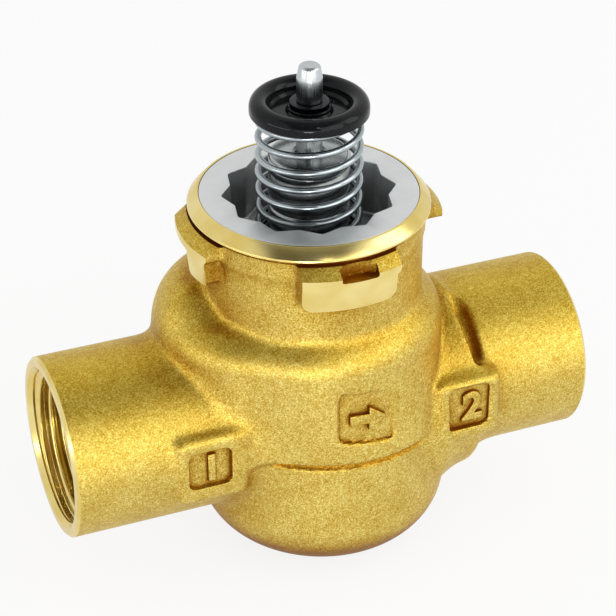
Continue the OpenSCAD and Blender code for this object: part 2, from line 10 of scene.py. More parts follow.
# %% The frame and the tools
import json
import math

import bmesh
import bpy
from mathutils import Matrix, Vector

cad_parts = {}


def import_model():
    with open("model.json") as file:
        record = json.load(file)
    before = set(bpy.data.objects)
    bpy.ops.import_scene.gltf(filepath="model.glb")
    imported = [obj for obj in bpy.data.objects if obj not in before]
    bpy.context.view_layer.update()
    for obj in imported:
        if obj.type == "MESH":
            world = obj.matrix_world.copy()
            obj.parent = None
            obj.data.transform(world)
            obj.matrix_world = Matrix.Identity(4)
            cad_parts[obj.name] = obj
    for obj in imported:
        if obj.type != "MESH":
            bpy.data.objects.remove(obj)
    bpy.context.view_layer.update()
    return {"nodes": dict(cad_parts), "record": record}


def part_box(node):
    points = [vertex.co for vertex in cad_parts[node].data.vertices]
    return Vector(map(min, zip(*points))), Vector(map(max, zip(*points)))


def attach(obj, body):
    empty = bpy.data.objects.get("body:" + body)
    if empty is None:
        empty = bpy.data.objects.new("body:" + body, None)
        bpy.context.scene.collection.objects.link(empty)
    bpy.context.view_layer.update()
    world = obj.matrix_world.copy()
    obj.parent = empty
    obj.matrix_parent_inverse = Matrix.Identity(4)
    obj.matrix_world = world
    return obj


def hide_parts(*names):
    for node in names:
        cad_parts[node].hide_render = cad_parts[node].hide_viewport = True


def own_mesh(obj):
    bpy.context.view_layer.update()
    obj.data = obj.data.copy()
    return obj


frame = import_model()
MM = 0.001

# %% [markdown]
# ## Driving sizes
# Most heights follow from a few places in the frame: the pipe's axis, the ends
# of the ports, the top of the neck and the tip of the stem. Lengths stay in
# millimetres, as on a drawing of such a valve, and turn into metres where a
# mesh is made.

# %% Places read from the frame
def node_box(node):
    """Lowest and highest corner of a CAD node, in millimetres."""
    low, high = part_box(node)
    return low / MM, high / MM


mount_at = {m["name"]: Vector(m["pos_m"]) / MM for m in frame["record"]["mounts"]}
body_high = node_box("valve_body")[1]
PIPE_Z = mount_at["port_1"].z
HALF_SPAN = body_high.x
NECK_TOP = body_high.z
TIP_Z = node_box("stem")[1].z
print(f"pipe axis {PIPE_Z:.2f}, half span {HALF_SPAN:.2f} mm")
print(f"neck top {NECK_TOP:.2f}, stem tip {TIP_Z:.2f} mm")

# %% [markdown]
# ## The camera
# A long lens from the front and above shows both ports, the bonnet and the
# spring at once. The camera is placed by how far it is turned round the stem
# and how far it is raised, and it looks at a point a little above the pipe.

# %% Camera
CAMERA_TURN = math.radians(-22.24)
CAMERA_RISE = math.radians(32.34)
CAMERA_ROLL = math.radians(0.28)
CAMERA_AWAY = 377.3
LENS_LENGTH = 125.25
AIM_UP = 14.3

turned_right = Vector((math.cos(CAMERA_TURN), math.sin(CAMERA_TURN), 0))
backward = Vector((
    math.sin(CAMERA_TURN) * math.cos(CAMERA_RISE),
    -math.cos(CAMERA_TURN) * math.cos(CAMERA_RISE),
    math.sin(CAMERA_RISE),
))
upward = backward.cross(turned_right)
right = turned_right * math.cos(CAMERA_ROLL) + upward * math.sin(CAMERA_ROLL)
up = upward * math.cos(CAMERA_ROLL) - turned_right * math.sin(CAMERA_ROLL)
aim = Vector((0, 0, PIPE_Z)) + up * AIM_UP

camera = bpy.data.objects.new("camera", bpy.data.cameras.new("camera"))
bpy.context.scene.collection.objects.link(camera)
camera.data.lens = LENS_LENGTH
camera.data.clip_start = 0.01
facing = Matrix((right, up, backward)).transposed().to_4x4()
camera.matrix_world = Matrix.Translation((aim + backward * CAMERA_AWAY) * MM) @ facing
bpy.context.scene.camera = camera
print("camera at", [round(c, 4) for c in camera.matrix_world.translation])

# %% [markdown]
# ## Sums in a node tree
# Both the casting and its finish are rules written as node trees. Wiring every
# Math node by hand would hide the rule, so a small class stands for a number
# inside a tree: adding or multiplying two of them makes the Math node and its
# links. Geometry trees and materials use it alike.

# %% A number inside a node tree
def feed(tree, socket, value):
    """Gives a socket a number or colour, or links another node's output to it."""
    if isinstance(value, Sum):
        value = value.socket
    if isinstance(value, bpy.types.NodeSocket):
        tree.links.new(value, socket)
    else:
        socket.default_value = value


def add_node(tree, kind, inputs=None):
    """A new node with some of its inputs given a value or a link."""
    node = tree.nodes.new(kind)
    for label, value in (inputs or {}).items():
        feed(tree, node.inputs[label], value)
    return node


def maths(tree, kind, *values):
    node = tree.nodes.new("ShaderNodeMath")
    node.operation = kind
    for socket, value in zip(node.inputs, values):
        feed(tree, socket, value)
    return Sum(tree, node.outputs[0])


def math_method(kind, swapped=False):
    """A method that makes one Math node of a number and another one."""
    def method(self, other):
        pair = (other, self) if swapped else (self, other)
        return maths(self.tree, kind, *pair)

    return method


class Sum:
    """A number inside a node tree; sums written with it become Math nodes."""

    def __init__(self, tree, socket):
        self.tree = tree
        self.socket = socket

    __add__ = math_method("ADD")
    __radd__ = math_method("ADD", swapped=True)
    __sub__ = math_method("SUBTRACT")
    __rsub__ = math_method("SUBTRACT", swapped=True)
    __mul__ = math_method("MULTIPLY")
    __truediv__ = math_method("DIVIDE")
    at_least = math_method("MAXIMUM")
    at_most = math_method("MINIMUM")

    def __neg__(self):
        return self * -1

    def __abs__(self):
        return maths(self.tree, "ABSOLUTE", self)

    def with_side(self, other):
        """The long side of a right triangle with sides self and other."""
        return maths(self.tree, "SQRT", self * self + other * other)

    def clamped(self):
        return self.at_least(0).at_most(1)


def parts_of(tree, vector):
    """The three numbers of a vector."""
    apart = add_node(tree, "ShaderNodeSeparateXYZ", {0: vector})
    return [Sum(tree, socket) for socket in apart.outputs]


# %% [markdown]
# ## Pieces from Geometry Nodes
# Each repeated or rule-shaped piece gets a tree with named inputs for its
# sizes. The inputs are set on the modifier by each socket's identifier before
# anything is worked out, and the finished result is kept as one plain mesh.

# %% Making a tree and turning it into a mesh
def new_shape_tree(name, sizes):
    """An empty geometry tree with one named input for each size."""
    tree = bpy.data.node_groups.new(name, "GeometryNodeTree")
    face = tree.interface
    face.new_socket("Geometry", in_out="OUTPUT", socket_type="NodeSocketGeometry")
    for label in sizes:
        face.new_socket(label, in_out="INPUT", socket_type="NodeSocketFloat")
    given = tree.nodes.new("NodeGroupInput")
    return tree, {label: Sum(tree, given.outputs[label]) for label in sizes}


def finish_tree(tree, geometry, material):
    """Ends a tree in Realize Instances, Set Material and the group's output."""
    real = add_node(tree, "GeometryNodeRealizeInstances", {"Geometry": geometry})
    dress = add_node(tree, "GeometryNodeSetMaterial", {
        "Geometry": real.outputs["Geometry"], "Material": material,
    })
    add_node(tree, "NodeGroupOutput", {"Geometry": dress.outputs["Geometry"]})


def place_in_scene(name, mesh):
    piece = bpy.data.objects.new(name, mesh)
    bpy.context.scene.collection.objects.link(piece)
    return piece


def applied(piece):
    """The piece as a plain mesh, with its modifiers worked in and taken off."""
    depsgraph = bpy.context.evaluated_depsgraph_get()
    mesh = bpy.data.meshes.new_from_object(piece.evaluated_get(depsgraph), depsgraph=depsgraph)
    piece.modifiers.clear()
    piece.data = mesh
    return piece


def piece_from_tree(name, tree, sizes):
    piece = place_in_scene(name, bpy.data.meshes.new(name))
    shape = piece.modifiers.new("shape", "NODES")
    shape.node_group = tree
    named = tree.interface.items_tree
    identifiers = {s.name: s.identifier for s in named if s.in_out == "INPUT"}
    for label, value in sizes.items():
        shape[identifiers[label]] = value
    return applied(piece)


def smoothed(piece, sharp_above=32):
    """Shades a piece smoothly, except across edges that turn more than an angle."""
    piece.data.shade_smooth()
    piece.data.set_sharp_from_angle(angle=math.radians(sharp_above))
    return piece


def stands_for(piece, body, node):
    """The piece rides on a body and stands in for one node, which is hidden."""
    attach(piece, body)
    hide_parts(node)
    print(piece.name, "for", node, len(piece.data.polygons), "faces")
    return piece


# %% [markdown]
# ## Finishes
# Every finish reads Object coordinates, which are the frame's metres, so the
# grain keeps its true size on every piece. Grain and turning marks are height
# patterns for a Bump node, and slower patterns shift the colour and roughness.
# Metal that stands in a hollow is painted darker as painted shade; on the cast brass it also stands
# for some oxide.

# %% A material from a few patterns
class Finish:
    """A material under construction: its tree, its shader and its coordinates."""

    def __init__(self, name, color, rough, metal=1.0, sockets=None):
        self.material = bpy.data.materials.new(name)
        self.material.use_nodes = True
        self.tree = self.material.node_tree
        self.shader = self.tree.nodes["Principled BSDF"]
        plain = {"Base Color": (*color, 1), "Roughness": rough, "Metallic": metal}
        for label, value in (plain | (sockets or {})).items():
            self.shader.inputs[label].default_value = value
        self.place = self.tree.nodes.new("ShaderNodeTexCoord").outputs["Object"]

    def scaled(self, stretch):
        """The coordinates, stretched by a different amount along each axis."""
        mapping = add_node(self.tree, "ShaderNodeMapping", {"Vector": self.place, "Scale": stretch})
        return mapping.outputs["Vector"]

    def noise(self, size, detail=2.0, rough=0.5, stretch=(1, 1, 1)):
        """Noise from 0 to 1 whose lumps are about size millimetres across."""
        node = add_node(self.tree, "ShaderNodeTexNoise", {
            "Vector": self.scaled(stretch), "Scale": 1 / (size * MM),
            "Detail": detail, "Roughness": rough,
        })
        return Sum(self.tree, node.outputs["Fac"])

    def openness(self, reach):
        """1 on open faces, less in a hollow narrower than reach millimetres."""
        node = add_node(self.tree, "ShaderNodeAmbientOcclusion", {"Distance": reach * MM})
        node.samples = 8
        return Sum(self.tree, node.outputs["AO"])

    def upward(self):
        """1 on level faces that look up, 0 on upright ones."""
        facing = self.tree.nodes.new("ShaderNodeNewGeometry").outputs["True Normal"]
        return parts_of(self.tree, facing)[2].clamped()

    def tinted(self, color, tint, amount):
        """A colour multiplied by a tint where amount is 1, unchanged where it is 0."""
        node = self.tree.nodes.new("ShaderNodeMix")
        node.data_type, node.blend_type = "RGBA", "MULTIPLY"
        feed(self.tree, node.inputs["Factor"], amount)
        feed(self.tree, node.inputs[6], color)
        node.inputs[7].default_value = (*tint, 1)
        return Sum(self.tree, node.outputs[2])

    def ramp(self, value, stops):
        """Colours between stops of (position, colour)."""
        node = add_node(self.tree, "ShaderNodeValToRGB", {"Fac": value})
        edge = node.color_ramp.elements
        while len(edge) < len(stops):
            edge.new(0.5)
        for element, (position, color) in zip(edge, stops):
            element.position = position
            element.color = (*color, 1)
        return Sum(self.tree, node.outputs["Color"])

    def set(self, label, value):
        feed(self.tree, self.shader.inputs[label], value)

    def bump(self, height, depth, strength=1.0):
        """Raises the surface by height (0 to 1) times depth in millimetres."""
        node = add_node(self.tree, "ShaderNodeBump", {
            "Strength": strength, "Distance": depth * MM, "Height": height,
        })
        self.set("Normal", node.outputs["Normal"])


# %% Cast and turned brass
def cast_brass():
    """Cast skin: coarse bright grain, browner in hollows with painted shade and some oxide, and a
    painted deeper orange on faces that look up.
    """
    finish = Finish("cast_brass", (0.76, 0.56, 0.14), 0.36)
    grain = finish.noise(0.26, detail=2.0, rough=0.65)
    pores = finish.noise(0.75, detail=2.0)
    patches = finish.noise(5.0, detail=3.0, rough=0.55)
    # painted shade, with some oxide on the cast skin: occlusion over 9.5 mm darkens the metal under
    # the lugs and above the band, and occlusion over 1.6 mm darkens the creases
    open_air = finish.openness(9.5)
    out_of_painted_shade = ((open_air - 0.45) / 0.5).clamped()
    out_of_crease_shade = finish.openness(1.6)
    tone = grain * 0.5 + pores * 0.15 + patches * 0.1
    tone = tone + out_of_painted_shade * 0.28 + out_of_crease_shade * 0.07 - 0.11
    color = finish.ramp(tone, [
        (0.42, (0.30, 0.12, 0.008)),
        (0.52, (0.50, 0.29, 0.03)),
        (0.61, (0.66, 0.48, 0.095)),
        (0.72, (0.92, 0.79, 0.28)),
    ])
    # painted shade: faces that look up are tinted a deeper, darker orange, for the dark reflection
    # they show
    finish.set("Base Color", finish.tinted(color, (1.0, 0.93, 0.5), finish.upward()))
    finish.set("Roughness", 0.32 + grain * 0.14 + patches * 0.08)
    finish.bump(grain * 0.7 + pores * 0.3, 0.11, 0.8)
    return finish.material


def turned_brass():
    """Bright lathe-cut brass with fine cuts round the stem's axis."""
    finish = Finish("turned_brass", (0.88, 0.70, 0.30), 0.16)
    cuts = finish.noise(0.25, detail=2.0, stretch=(0.02, 0.02, 1.0))
    haze = finish.noise(7.0)
    finish.set("Base Color", finish.ramp(haze, [
        (0.35, (0.84, 0.64, 0.19)),
        (0.65, (0.95, 0.79, 0.33)),
    ]))
    finish.set("Roughness", 0.12 + cuts * 0.1 + haze * 0.06)
    finish.bump(cuts, 0.01, 0.5)
    return finish.material


CAST = cast_brass()
TURNED = turned_brass()

# %% Steel, plating, coating, rubber and polymer
def plated(name, color, rough, grain_depth=0.004, stretch=(1, 1, 1)):
    """Bright metal with fine grain, darker with painted shade where it stands in a hollow."""
    finish = Finish(name, color, rough)
    grain = finish.noise(0.2, detail=3.0, stretch=stretch)
    haze = finish.noise(5.0)
    dark = tuple(c * 0.86 for c in color)
    # painted shade: in a hollow the metal falls to a sixth of its colour, set by occlusion over 7
    # mm
    deep = tuple(c * 0.16 for c in color)
    tone = haze * 0.3 + grain * 0.2 + finish.openness(7.0) * 0.5
    stops = [(0.3, deep), (0.62, dark), (0.8, color)]
    finish.set("Base Color", finish.ramp(tone, stops))
    finish.set("Roughness", rough * 0.8 + grain * rough * 0.3 + haze * rough * 0.15)
    finish.bump(grain, grain_depth, 0.6)
    return finish.material


def moulded(name, color, rough, specular=0.5):
    """Rubber, polymer or a coating, with a faint moulded grain."""
    sockets = {"Specular IOR Level": specular}
    finish = Finish(name, color, rough, metal=0.0, sockets=sockets)
    grain = finish.noise(0.3, detail=3.0)
    light = tuple(min(1, c * 1.25 + 0.003) for c in color)
    finish.set("Base Color", finish.ramp(grain, [(0.35, color), (0.7, light)]))
    finish.set("Roughness", rough * 0.85 + grain * rough * 0.3)
    finish.bump(grain, 0.01, 0.5)
    return finish.material


BONNET = plated("bonnet_nickel", (0.83, 0.85, 0.84), 0.42, 0.01)
GLAND = plated("gland_nickel", (0.66, 0.70, 0.69), 0.2)
STEEL = plated("ground_steel", (0.62, 0.66, 0.67), 0.26, 0.03, stretch=(1, 1, 0.03))
SEAT = plated("stainless_seat", (0.66, 0.67, 0.68), 0.25)
WIRE = plated("spring_wire", (0.50, 0.56, 0.58), 0.2)
CLIP = plated("dark_steel", (0.035, 0.037, 0.04), 0.25)
BLACK = moulded("black_coating", (0.003, 0.0035, 0.004), 0.09, specular=0.2)
RUBBER = moulded("rubber", (0.02, 0.02, 0.02), 0.6)
POLYMER = moulded("white_polymer", (0.82, 0.81, 0.77), 0.4)

# %% [markdown]
# ## The cast body
# Such a body is poured round cores and then machined. Its outside is a few
# round forms that melt into each other, so it is written here the way a
# founder thinks of it: a distance to each form, joined with a smooth minimum
# whose width is the fillet. A Volume Cube samples that distance, Volume to Mesh
# takes the skin where it is zero, and each point is then moved along its
# normal by what distance is left, which makes the skin follow the rule closely.

# %% Sizes of the casting, in millimetres
CASTING = {
    "Pipe axis": PIPE_Z, "Half span": HALF_SPAN, "Barrel radius": 15.65,
    "Bowl offset": 2.5, "Bowl radius": 22.0, "Bowl foot round": 10.3,
    "Band radius": 22.78, "Band foot": -0.8, "Band top": 22.3, "Band round": 5.9,
    "Band lean": 2.0, "Band taper": 0.5,
    "Undercut reach": 22.3, "Undercut drop": 1.45, "Undercut radius": 0.85,
    "Neck radius": 19.2, "Neck step": 0.3, "Shoulder fillet": 2.4,
    "Ring radius": 20.6, "Ring foot": 37.8, "Casting top": 41.0,
    "Lobe radius": 18.0, "Lobe offset": 9.0, "Lobe round": 10.0,
    "Lobe top": 27.0, "Lobe fall": 5.0,
    "Collar radius": 17.2, "Collar drop": 0.9, "Collar reach": 26.3,
    "Web radius": 19.0, "Web drop": 3.0, "Web slope": 0.5,
    "Web start": 18.5, "Web end": 33.5,
    "Hollow place": 25.7, "Hollow reach": 15.95, "Hollow radius": 1.55,
    "Brim half width": 7.6, "Brim foot": 34.5, "Skirt half width": 8.1, "Skirt foot": 29.9,
    "Stop half width": 2.7, "Lug corner": 1.8,
    "Notch place": 25.3, "Notch radius": 5.5, "Notch half width": 3.2, "Notch foot": 35.1,
    "Badge left": -3.3, "Badge right": 6.5, "Badge foot": 3.2, "Badge top": 12.9,
    "Badge tilt": 0.13, "Badge depth": 0.77, "Panel depth": 0.62,
}
# along the pipe from near to far, from foot to top, and how far forward
PADS = {
    "port_1": {
        "side": -1, "near": 17.0, "far": 29.6, "foot": -6.6, "top": 6.3, "face": 16.05,
        "panel": (20.3, 27.7, -3.3, 3.8), "digit": ("1", 7.0, -23.7, 0.1),
    },
    "port_2": {
        "side": 1, "near": 16.1, "far": 28.7, "foot": -4.4, "top": 7.7, "face": 18.35,
        "panel": (18.7, 26.3, -1.9, 6.4), "digit": ("2", 7.6, 23.2, 2.0),
    },
}
PAD_EDGE, PANEL_CORNER = 1.4, 1.2
SKIRT_TURN, STOP_TURN = 86.5, 11.6
LUG_FROM, LUG_TO, LUG_TOP = 15, 23.5, 40
VOXEL = 0.5
ROOM_LOW = Vector((-48, -24, -1))
ROOM_HIGH = Vector((48, 24, NECK_TOP + 1.8))
print(len(CASTING), "sizes, sampled every", VOXEL, "mm")


# %% Distances to rounded forms
def rounded(a, b, r):
    """Distance to what lies behind both walls a and b, their edge rounded by r."""
    past_a, past_b = a + r, b + r
    outside = past_a.at_least(0).with_side(past_b.at_least(0))
    return outside + past_a.at_least(past_b).at_most(0) - r


def melted(a, b, fillet):
    """Two forms joined with a fillet."""
    return maths(a.tree, "SMOOTH_MIN", a, b, fillet)


def carved(a, hollow, fillet):
    """A form with a hollow taken out of it."""
    return maths(a.tree, "SMOOTH_MAX", a, -hollow, fillet)


def between(value, low, high):
    """Distance outside a range along one axis."""
    return (low - value).at_least(value - high)


def oval(x, y, big, small, steps=5):
    """Distance to the oval round two circles, each given as centre x, y and radius."""
    whole = None
    for k in range(steps + 1):
        cx, cy, r = (p + (q - p) * (k / steps) for p, q in zip(big, small))
        circle = (x - cx).with_side(y - cy) - r
        whole = circle if whole is None else whole.at_most(circle)
    return whole


def lug_pair(x, y, h, turn, half_width, foot, corner):
    """Distance to two opposite blocks on the neck, turned from X by an angle."""
    c, n = math.cos(math.radians(turn)), math.sin(math.radians(turn))
    out, aside = abs(x * c + y * n), abs(y * c - x * n)
    block = rounded(aside - half_width, foot - h, corner)
    return block.at_least(between(out, LUG_FROM, LUG_TO)).at_least(h - LUG_TOP)


# %% The rule for the outside of the casting
def bowl_and_band(s, x, y, h, from_bowl, from_stem):
    """The bowl, the neck and the band, with the chamber's dome over port 1."""
    bowl = rounded(from_bowl - s["Bowl radius"], -h - s["Pipe axis"], s["Bowl foot round"])
    bowl = bowl.at_least(h - 2)
    neck = from_stem - s["Neck radius"] - (h - 33).clamped() * s["Neck step"]
    neck = neck.at_least(between(h, 5, s["Casting top"]))
    # the band leans in with height and is drawn out to an oval over port 1
    lobe_at = (-s["Lobe offset"], 1, s["Lobe radius"])
    leaning = (h / 14).clamped()
    band_at = (s["Bowl offset"] - leaning * s["Band lean"], 0,
               s["Band radius"] - leaning * s["Band taper"])
    band = rounded(oval(x, y, band_at, lobe_at), h - s["Band top"], s["Band round"])
    lowered = (y / -10).clamped() * s["Lobe fall"]
    dome = (x - lobe_at[0]).with_side(y - lobe_at[1]) - lobe_at[2]
    dome = rounded(dome, h - s["Lobe top"] + lowered, s["Lobe round"])
    band = carved(melted(band, dome, 0.8), h - s["Band foot"], 0.6)
    body = melted(melted(neck, band, s["Shoulder fillet"]), bowl, 0.3)
    undercut = (from_bowl - s["Undercut reach"]).with_side(h + s["Undercut drop"])
    return carved(body, undercut - s["Undercut radius"], 0.25)


def barrels_and_web(s, x, y, h):
    """Both barrels, the collar at port 2, the hollow beside it and the web below."""
    from_pipe = y.with_side(h)
    barrels = from_pipe - s["Barrel radius"]
    from_collar = (y + s["Collar drop"]).with_side(h + s["Collar drop"])
    collar = rounded(from_collar - s["Collar radius"], x - s["Collar reach"], 1.6).at_least(-x)
    # the web's foot slopes, and 0.894 makes its rule a true distance again
    web = y.with_side(h + s["Web drop"]) - s["Web radius"]
    web = (web + (x - s["Web start"]).at_least(0) * s["Web slope"]) * 0.894
    web = web.at_least(between(x, 10, s["Web end"]))
    pipes = melted(melted(barrels, collar, 1.2), web, 2.0)
    # the hollow fades out towards the back
    fading = ((y + 6) / 6).clamped() * 3.4
    hollow = (x - s["Hollow place"]).with_side(from_pipe - s["Hollow reach"] - fading)
    return carved(pipes, (hollow - s["Hollow radius"]).at_least(-h), 0.7)


def bayonet_lugs(s, x, y, h):
    """Four lugs: brims on both axes, skirts at front and back, stops at the sides."""
    brims = lug_pair(x, y, h, 0, s["Brim half width"], s["Brim foot"], 0.6)
    brims = brims.at_most(lug_pair(x, y, h, 90, s["Brim half width"], s["Brim foot"], 0.6))
    skirts = lug_pair(x, y, h, SKIRT_TURN, s["Skirt half width"], s["Skirt foot"], s["Lug corner"])
    stops = lug_pair(x, y, h, STOP_TURN, s["Stop half width"], s["Skirt foot"], 0.7)
    notch = (abs(y) - s["Notch place"]).with_side(x) - s["Notch radius"]
    notch = notch.at_least(abs(x) - s["Notch half width"]).at_least(s["Notch foot"] - h)
    return carved(melted(brims, skirts.at_most(stops), 0.4), notch, 0.4)


def with_pad(s, body, pad, x, y, h):
    """The body with one pad on the front of a barrel and the sunk panel in it."""
    out = x * pad["side"]
    block = between(out, pad["near"], pad["far"])
    block = rounded(block, between(h, pad["foot"], pad["top"]), PAD_EDGE)
    block = rounded(block, -y - pad["face"], PAD_EDGE).at_least(y)
    near, far, foot, top = pad["panel"]
    panel = rounded(between(out, near, far), between(h, foot, top), PANEL_CORNER)
    panel = panel.at_least(y + pad["face"] - s["Panel depth"])
    return carved(melted(body, block, 2.2), panel, 0.6)


def with_badge_place(s, body, x, y, h, from_bowl):
    """The body with the sunk place for the flow arrow on the band."""
    tilted = h + (x - 1.6) * s["Badge tilt"]
    badge = rounded(between(x, s["Badge left"], s["Badge right"]),
                    between(tilted, s["Badge foot"], s["Badge top"]), PANEL_CORNER)
    badge = badge.at_least(y).at_least(s["Band radius"] - s["Badge depth"] - from_bowl)
    return carved(body, badge, 0.8)


def casting_distance(s, x, y, h):
    """Millimetres from a point to the casting's skin; h is above the pipe's axis."""
    from_bowl = (x - s["Bowl offset"]).with_side(y)
    from_stem = x.with_side(y)
    body = bowl_and_band(s, x, y, h, from_bowl, from_stem)
    barrel_fillet = 0.8 + (x / -10).clamped() * 3.0
    body = melted(body, barrels_and_web(s, x, y, h), barrel_fillet)
    body = melted(body, bayonet_lugs(s, x, y, h), 1.0)
    ring = (from_stem - s["Ring radius"]).at_least(between(h, s["Ring foot"], s["Casting top"]))
    body = melted(body, ring, 0.3)
    for pad in PADS.values():
        body = with_pad(s, body, pad, x, y, h)
    body = with_badge_place(s, body, x, y, h, from_bowl)
    return body.at_least(abs(x) - s["Half span"] - 0.6)


# %% The casting's tree
def casting_tree():
    tree, s = new_shape_tree("brass_casting", CASTING)
    position = tree.nodes.new("GeometryNodeInputPosition").outputs[0]
    x, y, z = (part / MM for part in parts_of(tree, position))
    distance = casting_distance(s, x, y, z - s["Pipe axis"])

    room = add_node(tree, "GeometryNodeVolumeCube", {
        "Density": -distance, "Background": -0.01, "Min": ROOM_LOW * MM, "Max": ROOM_HIGH * MM,
    })
    for axis, length in zip("XYZ", ROOM_HIGH - ROOM_LOW):
        room.inputs[f"Resolution {axis}"].default_value = round(length / VOXEL) + 1
    skin = add_node(tree, "GeometryNodeVolumeToMesh", {"Volume": room.outputs[0], "Threshold": 0})
    shape = skin.outputs["Mesh"]

    normal = tree.nodes.new("GeometryNodeInputNormal")
    for _ in range(2):
        push = tree.nodes.new("ShaderNodeVectorMath")
        push.operation = "SCALE"
        feed(tree, push.inputs[0], normal.outputs[0])
        feed(tree, push.inputs["Scale"], distance * -MM)
        move = add_node(tree, "GeometryNodeSetPosition", {
            "Geometry": shape, "Offset": push.outputs[0],
        })
        shape = move.outputs["Geometry"]
    finish_tree(tree, shape, CAST)
    return tree


valve_casting = piece_from_tree("valve_casting", casting_tree(), CASTING)
print("casting:", len(valve_casting.data.polygons), "faces")

# %% [markdown]
# ## Turned shapes
# Nearly everything else on the valve was turned in a lathe. A turned piece is an
# outline of radius and height carried round the stem's axis. Real edges are
# never quite sharp, so each corner of an outline is eased with a short curve,
# which also gives it the bright line that a bevelled edge has.

# %% Easing an outline and turning it
def eased(outline, radius, steps=4):
    """The closed outline with its corners off the axis rounded."""
    points = [Vector(p) for p in outline]
    soft = []
    for before, corner, after in zip(points[-1:] + points, points, points[1:] + points[:1]):
        if corner.x < 1e-6:
            soft.append(corner)
            continue
        reach = min(radius, 0.45 * (before - corner).length, 0.45 * (after - corner).length)
        start = corner + (before - corner).normalized() * reach
        end = corner + (after - corner).normalized() * reach
        for k in range(steps + 1):
            t = k / steps
            soft.append(start * (1 - t) ** 2 + corner * 2 * t * (1 - t) + end * t * t)
    return soft


def turned(name, outline, material, sides=160, along_pipe=False):
    """A closed mesh turned from an outline of (radius, height) in millimetres.

    A radius can also be a function of the angle, for a broached star or a hexagon.
    """
    bm = bmesh.new()
    rings = []
    for r, z in outline:
        if not callable(r) and r < 1e-6:
            rings.append([bm.verts.new((0, 0, z * MM))] * sides)
            continue
        ring = []
        for k in range(sides):
            angle = 2 * math.pi * k / sides
            reach = (r(angle) if callable(r) else r) * MM
            ring.append(bm.verts.new((reach * math.cos(angle), reach * math.sin(angle), z * MM)))
        rings.append(ring)
    for low, high in zip(rings, rings[1:] + rings[:1]):
        for k in range(sides):
            n = (k + 1) % sides
            corners = list(dict.fromkeys((low[k], low[n], high[n], high[k])))
            if len(corners) > 2:
                bm.faces.new(corners)
    bmesh.ops.recalc_face_normals(bm, faces=bm.faces)
    mesh = bpy.data.meshes.new(name)
    bm.to_mesh(mesh)
    bm.free()
    mesh.materials.append(material)
    if along_pipe:
        lying = Matrix.Rotation(math.pi / 2, 4, "Y")
        mesh.transform(Matrix.Translation((0, 0, PIPE_Z * MM)) @ lying)
    return smoothed(place_in_scene(name, mesh))


# %% [markdown]
# ## Machining the casting
# The neck's ring, the lugs' outer faces, the port faces and every bore are cut
# after casting. Each cut here is a turned cutter taken away with a boolean. The
# Manifold solver keeps both the closed skin and the cutter's own finish, so
# the cut faces come out as bright turned brass. The slopes over the lugs and
# the chambers inside are made by a pattern and a core, so they keep cast skin.

# %% The cutters
ROOT_RADIUS, WATERWAY_RADIUS = 13.22, 10.5
LOBE_CHAMBER_X, RISER_X, BOWL_CHAMBER_X = -9.5, -21.5, 4


def above_pipe(outline):
    """An outline whose heights were given from the pipe's axis."""
    return [(r, PIPE_Z + h) for r, h in outline]


def moved(piece, x):
    piece.data.transform(Matrix.Translation((x * MM, 0, 0)))
    return piece


def cut_outside_neck():
    """Lathe cut that leaves the lugs' outer faces and the ring with its bevel."""
    return turned("cut_neck", eased(above_pipe([
        (21.8, 29.3), (22.4, 34.0), (22.4, 38.0), (20.35, 38.2), (20.35, 38.5), (18.8, 40.2),
        (0, 40.2), (0, 60), (40, 60), (40, 29.3),
    ]), 0.1, 2), TURNED)


def cut_lug_slopes():
    """The cast slope over each lug and the groove between it and the ring."""
    return turned("cut_slopes", above_pipe([
        (22.42, 35.8), (20.5, 37.4), (19.9, 37.2), (19.4, 37.3), (19.4, 37.6),
        (20.36, 38.22), (24, 38.22), (24, 35.8),
    ]), CAST)


def cut_port(side):
    """Faced end, chamfers, threaded bore and waterway of one port."""
    end, rim = HALF_SPAN, CASTING["Barrel radius"]
    inner_end = 16.5 if side < 0 else 17.2
    outline = [
        (0, inner_end), (WATERWAY_RADIUS, inner_end), (WATERWAY_RADIUS, end - 15),
        (ROOT_RADIUS, end - 15), (ROOT_RADIUS, end - 0.8), (13.95, end),
        (rim - 0.5, end), (rim + 0.5, end - 1), (rim + 4, end - 1),
        (rim + 4, end + 4), (0, end + 4),
    ]
    outline = [(r, side * a) for r, a in outline]
    return turned(f"cut_port_{side}", outline, TURNED, along_pipe=True)


def cut_bonnet_seat():
    top, low = NECK_TOP, node_box("bonnet")[0].z
    return turned("cut_bonnet_seat", [
        (0, PIPE_Z + 9.5), (15.5, PIPE_Z + 9.5), (15.5, low - 1), (16.55, low - 1),
        (16.55, top - 4.45), (17.6, top - 4.45), (17.6, top - 2.25), (18.45, top - 2.25),
        (18.45, top + 2), (0, top + 2),
    ], TURNED)


def cut_chambers():
    upper = turned("cut_upper", eased(above_pipe([
        (0, 9.5), (13.5, 9.5), (13.5, 14.5), (9.5, 19), (0, 20.5),
    ]), 4), CAST)
    riser = turned("cut_riser", above_pipe([(0, 0), (5, 0), (5, 12), (0, 12)]), CAST)
    lower = turned("cut_lower", eased([
        (0, 3.5), (17, 3.5), (17, PIPE_Z + 6), (0, PIPE_Z + 6),
    ], 6.8), CAST)
    seat = turned("cut_seat", above_pipe([(0, 5), (10.45, 5), (10.45, 10.5), (0, 10.5)]), TURNED)
    return [
        moved(upper, LOBE_CHAMBER_X), moved(riser, RISER_X), moved(lower, BOWL_CHAMBER_X), seat,
    ]


# %% Cut the casting
def cut_away(piece, cutters):
    """Takes the cutters away and drops the empty material slot of a new skin."""
    for cutter in cutters:
        cut = piece.modifiers.new(cutter.name, "BOOLEAN")
        cut.operation = "DIFFERENCE"
        cut.solver = "MANIFOLD"
        cut.object = cutter
        cut.material_mode = "TRANSFER"
    applied(piece)
    for cutter in cutters:
        bpy.data.objects.remove(cutter)
    if piece.data.materials[0] is None:
        piece.data.materials.pop(index=0)
    return piece


